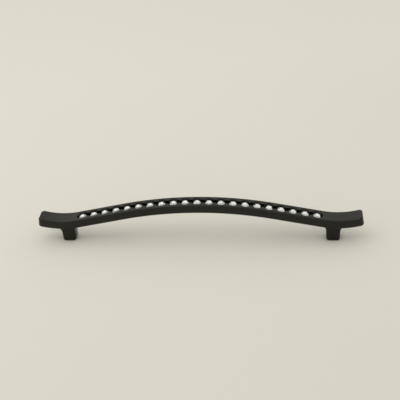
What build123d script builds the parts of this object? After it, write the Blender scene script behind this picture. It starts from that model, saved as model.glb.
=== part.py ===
"""Arched cabinet handle: one die-cast body on two posts, with a row of cut crystals along its top face.

Millimetres. The origin lies midway between the two screw holes on the mounting plane, X runs along the
handle and +Z points away from the door that the handle is screwed to.
"""

import os
from math import asin, atan2, cos, degrees, radians, sin, sqrt, tan

from build123d import *

# Side view of the handle, measured on its top face
hole_spacing = 160.0
bow_height = 26.2
bow_radius = 228.0
flank_angle = 11.5
end_radius = 45.0
curve_lead = 6.0  # from a screw hole back to the start of the upturned end's curve
end_overhang = 17.95  # from a screw hole out to the lower corner of the end
end_lean = 10.0  # of the end faces from upright, with their lower edges further out
end_trim = 2.5  # length of bar cut off past each end face

# Section of the bar, which narrows towards its underside
bar_width = 10.7
bar_thickness = 6.0
underside_width = 8.8
end_corner_radius = 2.2
top_edge_radius = 0.8
underside_edge_radius = 1.2

# Posts, each with a blind screw hole, drilled to the tapping size of its thread
post_length = 8.0  # along X, at the foot
post_inset = 0.5  # each side, from the underside's edge
post_draft = 2.5
post_corner_radius = 1.8
post_flare_radius = 3.4
post_foot_radius = 1.1
flare_height_share = 0.6  # the most of the post's height that its flare may take
root_cover = 0.8  # metal of the post's root above its rounded edges, inside the bar
flare_margin = 1.0  # root left past each end of the flare
upright_tolerance = 10.0  # degrees from upright, for the post's corner edges
bore_radius = 1.65
bore_roof = 5.5  # metal between the end of the bore and the top face

# Crystals, flat at the back, with three rings of facets round the table
crystal_count = 21
crystal_pitch = 7.15
crystal_radius = 2.2
crystal_height = 1.65
girdle_height = 0.55
table_radius = 1.5
facets_per_ring = 8
break_facet_slope = 70.0
star_facet_slope = 34.0
crystal_turn = 17.0  # each crystal is turned this much further than the one before it

# Pockets that hold the crystals, wider at the top, and the shallower slot that joins them
seat_clearance = 0.25  # round a crystal, at its pocket's floor
pocket_flare = 25.0  # of a pocket's wall from the pocket's axis
glue_film = 0.05  # between a crystal's back and its pocket's floor
table_recess = 0.4
slot_width = 3.3
slot_step = 0.1  # from a pocket's floor up to the slot's floor
cutter_reach = 2.0  # how far the pocket and slot cutters rise past the top face

# Points and sizes worked out from those above
post_x = hole_spacing / 2
post_width = underside_width - 2 * post_inset
flank = radians(flank_angle)
bow_centre_z = bow_height - bow_radius
flank_end_x = post_x - curve_lead
flank_end_z = bow_centre_z + bow_radius * cos(flank) - (flank_end_x - bow_radius * sin(flank)) * tan(flank)
dip_x = flank_end_x + end_radius * sin(flank)
dip_z = flank_end_z + end_radius * cos(flank)
underside_end_radius = end_radius + bar_thickness
end_x = post_x + end_overhang
end_z = dip_z - sqrt(underside_end_radius**2 - (end_x - dip_x) ** 2)
swept_end_angle = degrees(asin((end_x + end_trim - dip_x) / underside_end_radius))
post_height = dip_z - underside_end_radius
root_depth = post_corner_radius + root_cover
root_z = post_height + root_depth / 2
root_length = post_length + 2 * root_z * tan(radians(post_draft))
# The flare meets the underside before the bar runs straight
flare_room = (curve_lead + bar_thickness * sin(flank) - root_length / 2) / (1 - sin(flank))
flare_radius = min(post_flare_radius, flare_height_share * post_height, flare_room)
bore_depth = post_height + bar_thickness - bore_roof
seat_radius = crystal_radius + seat_clearance
seat_depth = crystal_height + table_recess
pocket_depth = seat_depth + glue_film
slot_depth = pocket_depth - slot_step


def draw_flank_and_end(depth):
    """Right flank and upturned end in side view, at a depth below the top face, in the open line block."""
    start_radius = bow_radius - depth
    curve_radius = end_radius + depth
    flank_line = Line(
        (start_radius * sin(flank), bow_centre_z + start_radius * cos(flank)),
        (dip_x - curve_radius * sin(flank), dip_z - curve_radius * cos(flank)),
    )
    end_curve = JernArc(flank_line @ 1, flank_line % 1, curve_radius, flank_angle + swept_end_angle)
    return flank_line, end_curve


# Middle line of the top face, from one end to the other
with BuildLine(Plane.XZ) as top_line:
    right_flank, right_end = draw_flank_and_end(0)
    mirror(right_flank, about=Plane.YZ)
    mirror(right_end, about=Plane.YZ)
    flank_start = right_flank @ 0
    ThreePointArc((-flank_start.X, flank_start.Z), (0, bow_height), (flank_start.X, flank_start.Z))
top_path = top_line.wire()


def plane_below_top(distance, depth):
    """Plane facing out of the top face, at a distance along it from the middle and a depth below it."""
    along = top_path.length / 2 + distance
    point = top_path.position_at(along, position_mode=PositionMode.LENGTH)
    tangent = top_path.tangent_at(along, position_mode=PositionMode.LENGTH)
    return Plane(origin=point, x_dir=tangent, z_dir=tangent.cross(Vector(0, 1, 0))).offset(-depth)


crystal_places = [(number - (crystal_count - 1) / 2) * crystal_pitch for number in range(crystal_count)]
slot_places = [(left + right) / 2 for left, right in zip(crystal_places, crystal_places[1:])]
crystal_seats = [plane_below_top(place, seat_depth) for place in crystal_places]
pocket_floors = [plane_below_top(place, pocket_depth) for place in crystal_places]
slot_floors = [plane_below_top(place, slot_depth) for place in slot_places]

# Post, with a flared root that lies inside the bar along its underside
with BuildPart() as post:
    with BuildSketch(Plane.XZ) as post_side:
        with BuildLine():
            low_flank, low_end = draw_flank_and_end(bar_thickness)
            high_flank, high_end = draw_flank_and_end(bar_thickness - root_depth)
            Line(low_flank @ 0, high_flank @ 0)
            Line(low_end @ 1, high_end @ 1)
        make_face()
        with Locations((post_x, post_height)):
            Rectangle(root_length + 2 * (flare_radius + flare_margin), bow_height, mode=Mode.INTERSECT)
        with BuildLine():
            Polyline(
                (post_x - post_length / 2, 0),
                (post_x + post_length / 2, 0),
                (post_x + root_length / 2, root_z),
                (post_x - root_length / 2, root_z),
                close=True,
            )
        make_face()
        fillet(post_side.vertices().sort_by_distance((post_x, post_height))[:2], flare_radius)
    extrude(amount=post_width / 2, both=True)
    uprights = post.edges().filter_by(Axis.Z, tolerance=upright_tolerance)
    fillet(uprights.filter_by_position(Axis.Z, 0, post_height), post_corner_radius)
    fillet(post.faces().sort_by(Axis.Z)[0].edges(), post_foot_radius)

# Body: the bar with both posts, the pockets and the screw holes
with BuildPart() as handle_body:
    with BuildSketch(Plane(origin=top_path @ 0, x_dir=(0, 1, 0), z_dir=top_path % 0)):
        with BuildLine():
            Polyline(
                (-bar_width / 2, 0),
                (bar_width / 2, 0),
                (underside_width / 2, -bar_thickness),
                (-underside_width / 2, -bar_thickness),
                close=True,
            )
        make_face()
    sweep(path=top_path)
    for side in (-1, 1):
        outward = (side * cos(radians(end_lean)), 0, sin(radians(end_lean)))
        split(bisect_by=Plane(origin=(side * end_x, 0, end_z), z_dir=outward), keep=Keep.BOTTOM)
    faces_along_bar = handle_body.faces().sort_by(Axis.X)
    end_edges = faces_along_bar[0].edges() + faces_along_bar[-1].edges()
    fillet(end_edges.filter_by(Axis.Y, reverse=True), end_corner_radius)
    # The lower edge of an end lies furthest out and the upper edge next; each rounding runs on round the bar
    upper_edge = handle_body.edges().filter_by(Axis.Y).sort_by(Axis.X)[1]
    fillet(upper_edge, top_edge_radius)
    lower_edge = handle_body.edges().filter_by(Axis.Y).sort_by(Axis.X)[0]
    fillet(lower_edge, underside_edge_radius)
    add(post.part)
    mirror(post.part, about=Plane.YZ)
    with BuildSketch(*pocket_floors):
        Circle(seat_radius)
    extrude(amount=pocket_depth + cutter_reach, taper=-pocket_flare, mode=Mode.SUBTRACT)
    with BuildSketch(*slot_floors):
        Rectangle(crystal_pitch, slot_width)
    extrude(amount=slot_depth + cutter_reach, mode=Mode.SUBTRACT)
    with BuildSketch():
        with Locations((-post_x, 0), (post_x, 0)):
            Circle(bore_radius)
    extrude(amount=bore_depth, mode=Mode.SUBTRACT)


def facet_plane(turn, reach, height, slope):
    """Plane of one facet, through a point at a reach from the crystal's axis and a height above its back."""
    outward = Vector(1, 0, 0).rotate(Axis.Z, turn)
    upward = Vector(0, 0, 1)
    normal = outward * sin(radians(slope)) + upward * cos(radians(slope))
    return Plane(origin=outward * reach + upward * height, z_dir=normal)


# One crystal: a flat-backed disc cut by the main, break and star facets
facet_step = 360 / facets_per_ring
main_facet_slope = degrees(atan2(crystal_height - girdle_height, crystal_radius - table_radius))
with BuildPart() as cut_crystal:
    Cylinder(crystal_radius, crystal_height, align=(Align.CENTER, Align.CENTER, Align.MIN))
    for facet in range(facets_per_ring):
        main_turn = facet * facet_step
        between_turn = main_turn + facet_step / 2
        facets = (
            facet_plane(main_turn, table_radius, crystal_height, main_facet_slope),
            facet_plane(between_turn, crystal_radius, girdle_height, break_facet_slope),
            facet_plane(between_turn, table_radius, crystal_height, star_facet_slope),
        )
        for facet_cut in facets:
            split(bisect_by=facet_cut, keep=Keep.BOTTOM)

os.makedirs("parts", exist_ok=True)
handle_body.part.label = "handle_body"
export_step(handle_body.part, "parts/handle_body.step")

for number, seat in enumerate(crystal_seats, start=1):
    with BuildPart(seat) as crystal:
        add(cut_crystal.part, rotation=(0, 0, number * crystal_turn))
    crystal.part.label = f"crystal_{number:02d}"
    export_step(crystal.part, f"parts/crystal_{number:02d}.step")
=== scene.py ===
"""Looks of the arched cabinet handle: satin black casting, foil-backed crystals, a pale floor.

Metres, in the frame of the solids: X along the handle, +Z away from the door, feet at Z = 0.
"""
import math

import bpy
from mathutils import Matrix, Vector

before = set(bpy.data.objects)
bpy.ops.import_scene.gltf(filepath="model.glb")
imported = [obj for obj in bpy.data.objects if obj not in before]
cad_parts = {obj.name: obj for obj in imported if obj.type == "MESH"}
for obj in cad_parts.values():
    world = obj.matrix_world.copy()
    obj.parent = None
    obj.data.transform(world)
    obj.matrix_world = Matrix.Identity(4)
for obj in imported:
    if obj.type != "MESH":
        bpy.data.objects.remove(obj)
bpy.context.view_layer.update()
MM = 0.001

# Camera, at the photograph's angle
image_pixels = 400
sensor_width = 36.0  # in mm, as Blender counts it
view_azimuth = math.radians(7.754)
view_elevation = math.radians(32.467)
view_roll = math.radians(4.476)
view_distance = 513.0 * MM
aim_along_view = 1.92 * MM  # to the right of the handle's middle, as the camera sees it
aim_height = 26.72 * MM
pixels_per_mm = 1.692  # at the aim point
near_clip = 10.0 * MM

# Floor and light
floor_colour = (0.723, 0.700, 0.632)
floor_size = 6.0
floor_drop = 0.02 * MM  # below the feet, so that the two never share a plane
painted_shade_slant = (-0.4, 1.0, 0.0)  # the way the painted shade on the floor fades, so that the floor grows paler
painted_shade_reach = (-0.22, 0.25)  # metres along that way, from the painted shade's near tone to its far one
painted_shade_near = 0.91  # the painted shade's near tone and far one, as shares of the floor's colour
painted_shade_far = 1.0
floor_fleck = (0.80, 0.78, 0.71)
fleck_scale = 9.0
fleck_share = 0.06
floor_roughness = 0.9
floor_shine = 0.1
horizon_light = (0.665, 0.65, 0.575)
zenith_light = (1.01, 1.01, 1.0)
lamp_size = 0.7
lamp_place = (-0.42, -0.12, 0.81)
lamp_power = 1.5
lamp_colour = (1.0, 0.985, 0.96)

# Places of the sockets that a mix node uses for colours
mix_share = 0
mix_first = 6
mix_second = 7
mix_result = 2  # among the outputs

# Parts of a noise's range that hold most of its values
noise_core = (0.35, 0.65)
noise_wide = (0.3, 0.7)

# Black coat; scales are repeats per metre
coat_dark = (0.0018, 0.0018, 0.0015)
coat_light = (0.0038, 0.0037, 0.0032)
coat_roughness = (0.17, 0.24)
coat_shine = 0.32
coat_tint = (1.0, 0.99, 0.90, 1.0)
mottle_scale = 240.0
grain_scale = 2600.0
wave_scale = 130.0
swell_strength = 0.12
swell_depth = 0.20 * MM
peel_strength = 0.22
peel_depth = 0.02 * MM
smooth_angle = math.radians(32)

# Wear on the coat's edges
worn_edge = (0.024, 0.023, 0.021)
edge_radius = 0.35 * MM
edge_likeness = (0.99, 0.80)  # of the plain normal to the rounded one, from flat metal to the edge
wear_scale = 700.0
wear_band = (0.40, 0.66)
least_wear = 0.25

# Crystals and their foil
glass_colour = (0.99, 0.99, 0.99, 1.0)
glass_index = 1.54
smear_scale = 900.0
smear_band = (0.35, 0.75)
smear_roughness = 0.05
foil_dark = (0.94, 0.94, 0.93)
foil_light = (0.99, 0.99, 0.98)
foil_metal = 0.85
foil_scale = 1500.0
foil_roughness = (0.13, 0.21)
foil_limit = 0.1  # foil lies where a face points less than this along its crystal's axis


def new_material(name):
    """New node material, with its node tree and its principled shader."""
    material = bpy.data.materials.new(name)
    material.use_nodes = True
    shader = material.node_tree.nodes["Principled BSDF"]
    return material, material.node_tree, shader


def add_node(tree, kind, inputs=None, **settings):
    """Adds a node, sets its properties, and links or sets its inputs."""
    node = tree.nodes.new(kind)
    for name, value in settings.items():
        setattr(node, name, value)
    for name, value in (inputs or {}).items():
        if isinstance(value, bpy.types.NodeSocket):
            tree.links.new(value, node.inputs[name])
        else:
            node.inputs[name].default_value = value
    return node


def object_noise(tree, scale, detail=2.0):
    """Noise fixed to the object, with its scale in repeats per metre."""
    place = add_node(tree, "ShaderNodeTexCoord").outputs["Object"]
    inputs = {"Vector": place, "Scale": scale, "Detail": detail}
    return add_node(tree, "ShaderNodeTexNoise", inputs).outputs["Fac"]


def remap(tree, value, low, high, to_low, to_high):
    """Value mapped from one range to another, held at the ends."""
    inputs = {"Value": value, "From Min": low, "From Max": high, "To Min": to_low, "To Max": to_high}
    return add_node(tree, "ShaderNodeMapRange", inputs).outputs["Result"]


def mix_colour(tree, share, first, second):
    """Blend of two colours, each a socket or a plain colour."""
    node = add_node(tree, "ShaderNodeMix", data_type="RGBA")
    for place, value in ((mix_share, share), (mix_first, first), (mix_second, second)):
        socket = node.inputs[place]
        if isinstance(value, bpy.types.NodeSocket):
            tree.links.new(value, socket)
        else:
            socket.default_value = (*value, 1.0)
    return node.outputs[mix_result]


def edge_share(tree, radius):
    """Share of an edge in a spot, 0 on flat metal and near 1 on the edge itself, and the rounded normal."""
    rounded = add_node(tree, "ShaderNodeBevel", {"Radius": radius}, samples=8).outputs["Normal"]
    plain = add_node(tree, "ShaderNodeNewGeometry").outputs["Normal"]
    inputs = {0: rounded, 1: plain}
    likeness = add_node(tree, "ShaderNodeVectorMath", inputs, operation="DOT_PRODUCT").outputs["Value"]
    return remap(tree, likeness, *edge_likeness, 0.0, 1.0), rounded


def make_black_coat():
    """Satin black coat on a casting: faint mottling, fine orange peel, edges rubbed a little lighter."""
    material, tree, shader = new_material("black_coat")
    mottle = object_noise(tree, mottle_scale, detail=4.0)
    grain = object_noise(tree, grain_scale)
    wave = object_noise(tree, wave_scale)
    edge, rounded = edge_share(tree, edge_radius)
    breaks = remap(tree, object_noise(tree, wear_scale, detail=3.0), *wear_band, least_wear, 1.0)
    rubbed = add_node(tree, "ShaderNodeMath", {0: edge, 1: breaks}, operation="MULTIPLY").outputs[0]
    coat = mix_colour(tree, remap(tree, mottle, *noise_core, 0.0, 1.0), coat_dark, coat_light)
    tree.links.new(mix_colour(tree, rubbed, coat, worn_edge), shader.inputs["Base Color"])
    tree.links.new(remap(tree, mottle, *noise_wide, *coat_roughness), shader.inputs["Roughness"])
    shader.inputs["Specular IOR Level"].default_value = coat_shine
    shader.inputs["Specular Tint"].default_value = coat_tint
    swell_inputs = {"Strength": swell_strength, "Distance": swell_depth, "Height": wave, "Normal": rounded}
    swollen = add_node(tree, "ShaderNodeBump", swell_inputs).outputs["Normal"]
    peel_inputs = {"Strength": peel_strength, "Distance": peel_depth, "Height": grain, "Normal": swollen}
    peeled = add_node(tree, "ShaderNodeBump", peel_inputs).outputs["Normal"]
    tree.links.new(peeled, shader.inputs["Normal"])
    return material


def make_crystal_glass():
    """Clear cut glass with faint smears on its polish."""
    material, tree, shader = new_material("crystal_glass")
    shader.inputs["Base Color"].default_value = glass_colour
    shader.inputs["Transmission Weight"].default_value = 1.0
    shader.inputs["IOR"].default_value = glass_index
    smears = remap(tree, object_noise(tree, smear_scale, detail=3.0), *smear_band, 0.0, smear_roughness)
    tree.links.new(smears, shader.inputs["Roughness"])
    return material


def make_foil():
    """Silver foil on the flat back and the girdle of a crystal, faintly mottled."""
    material, tree, shader = new_material("crystal_foil")
    shader.inputs["Metallic"].default_value = foil_metal
    mottle = object_noise(tree, foil_scale, detail=3.0)
    silver = mix_colour(tree, remap(tree, mottle, *noise_core, 0.0, 1.0), foil_dark, foil_light)
    tree.links.new(silver, shader.inputs["Base Color"])
    tree.links.new(remap(tree, mottle, *noise_wide, *foil_roughness), shader.inputs["Roughness"])
    return material


def dress_body(material):
    """Puts the coat on the casting, with smooth faces that meet in crisp edges."""
    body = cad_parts["handle_body"]
    body.data.materials.clear()
    body.data.materials.append(material)
    body.data.shade_smooth()
    body.data.set_sharp_from_angle(angle=smooth_angle)


def dress_crystal(crystal, glass, foil):
    """Glass on the cut faces of a crystal, with foil on its flat back and round its girdle."""
    mesh = crystal.data
    finishes = [glass, foil]
    mesh.materials.clear()
    for finish in finishes:
        mesh.materials.append(finish)
    mesh.shade_flat()
    outward = -min((face.normal for face in mesh.polygons), key=lambda normal: normal.z).copy()
    for face in mesh.polygons:
        finish = foil if face.normal.dot(outward) < foil_limit else glass
        face.material_index = finishes.index(finish)


def add_floor():
    """Plain pale floor that takes the handle's shadow, with painted shade that makes it a little darker
    towards the camera and to the right.
    """
    half = floor_size / 2
    mesh = bpy.data.meshes.new("floor")
    corners = [(x * half, y * half, -floor_drop) for x, y in ((-1, -1), (1, -1), (1, 1), (-1, 1))]
    mesh.from_pydata(corners, [], [(0, 1, 2, 3)])
    floor = bpy.data.objects.new("floor", mesh)
    bpy.context.scene.collection.objects.link(floor)
    material, tree, shader = new_material("floor_paper")
    place = add_node(tree, "ShaderNodeTexCoord").outputs["Object"]
    # Painted shade: the floor's colour darkens towards the camera and to the right, standing in for the
    # light's falloff
    inputs = {0: place, 1: painted_shade_slant}
    painted_shade_along = add_node(tree, "ShaderNodeVectorMath", inputs, operation="DOT_PRODUCT").outputs["Value"]
    painted_near_colour, painted_far_colour = (tuple(channel * share for channel in floor_colour) for share in (painted_shade_near, painted_shade_far))
    painted_shade_tone = mix_colour(tree, remap(tree, painted_shade_along, *painted_shade_reach, 0.0, 1.0), painted_near_colour, painted_far_colour)
    fleck = remap(tree, object_noise(tree, fleck_scale), *noise_wide, 0.0, fleck_share)
    tree.links.new(mix_colour(tree, fleck, painted_shade_tone, floor_fleck), shader.inputs["Base Color"])
    shader.inputs["Roughness"].default_value = floor_roughness
    shader.inputs["Specular IOR Level"].default_value = floor_shine
    mesh.materials.append(material)


def add_light():
    """Soft tent of light, like the floor low down and white overhead, and a lamp at the upper left."""
    world = bpy.data.worlds.new("soft_tent")
    bpy.context.scene.world = world
    world.use_nodes = True
    tree = world.node_tree
    background = tree.nodes["Background"]
    direction = add_node(tree, "ShaderNodeTexCoord").outputs["Generated"]
    height = add_node(tree, "ShaderNodeSeparateXYZ", {"Vector": direction}).outputs["Z"]
    share = remap(tree, height, 0.0, 1.0, 0.0, 1.0)
    tree.links.new(mix_colour(tree, share, horizon_light, zenith_light), background.inputs["Color"])

    lamp = bpy.data.lights.new("top_lamp", "AREA")
    lamp.size = lamp_size
    lamp.energy = lamp_power
    lamp.color = lamp_colour
    holder = bpy.data.objects.new("top_lamp", lamp)
    holder.location = lamp_place
    holder.rotation_mode = "QUATERNION"
    holder.rotation_quaternion = (-Vector(lamp_place)).to_track_quat("-Z", "Y")
    bpy.context.scene.collection.objects.link(holder)


def add_camera():
    """Camera that looks down on the handle from the front, a little from its right, and tilted."""
    back = Vector((
        math.sin(view_azimuth) * math.cos(view_elevation),
        -math.cos(view_azimuth) * math.cos(view_elevation),
        math.sin(view_elevation),
    ))
    level_right = Vector((math.cos(view_azimuth), math.sin(view_azimuth), 0))
    level_up = back.cross(level_right)
    right = level_right * math.cos(view_roll) - level_up * math.sin(view_roll)
    up = level_right * math.sin(view_roll) + level_up * math.cos(view_roll)
    aim = level_right * aim_along_view + Vector((0, 0, aim_height))
    camera = bpy.data.cameras.new("camera")
    camera.sensor_width = sensor_width
    camera.lens = pixels_per_mm * (view_distance / MM) * sensor_width / image_pixels
    camera.clip_start = near_clip
    holder = bpy.data.objects.new("camera", camera)
    turn = Matrix((right, up, back)).transposed().to_4x4()
    holder.matrix_world = Matrix.Translation(aim + back * view_distance) @ turn
    bpy.context.scene.collection.objects.link(holder)
    bpy.context.scene.camera = holder


dress_body(make_black_coat())
crystal_glass, crystal_foil = make_crystal_glass(), make_foil()
for node_name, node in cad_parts.items():
    if node_name.startswith("crystal_"):
        dress_crystal(node, crystal_glass, crystal_foil)
add_floor()
add_light()
add_camera()
bpy.context.scene.view_settings.view_transform = "Standard"
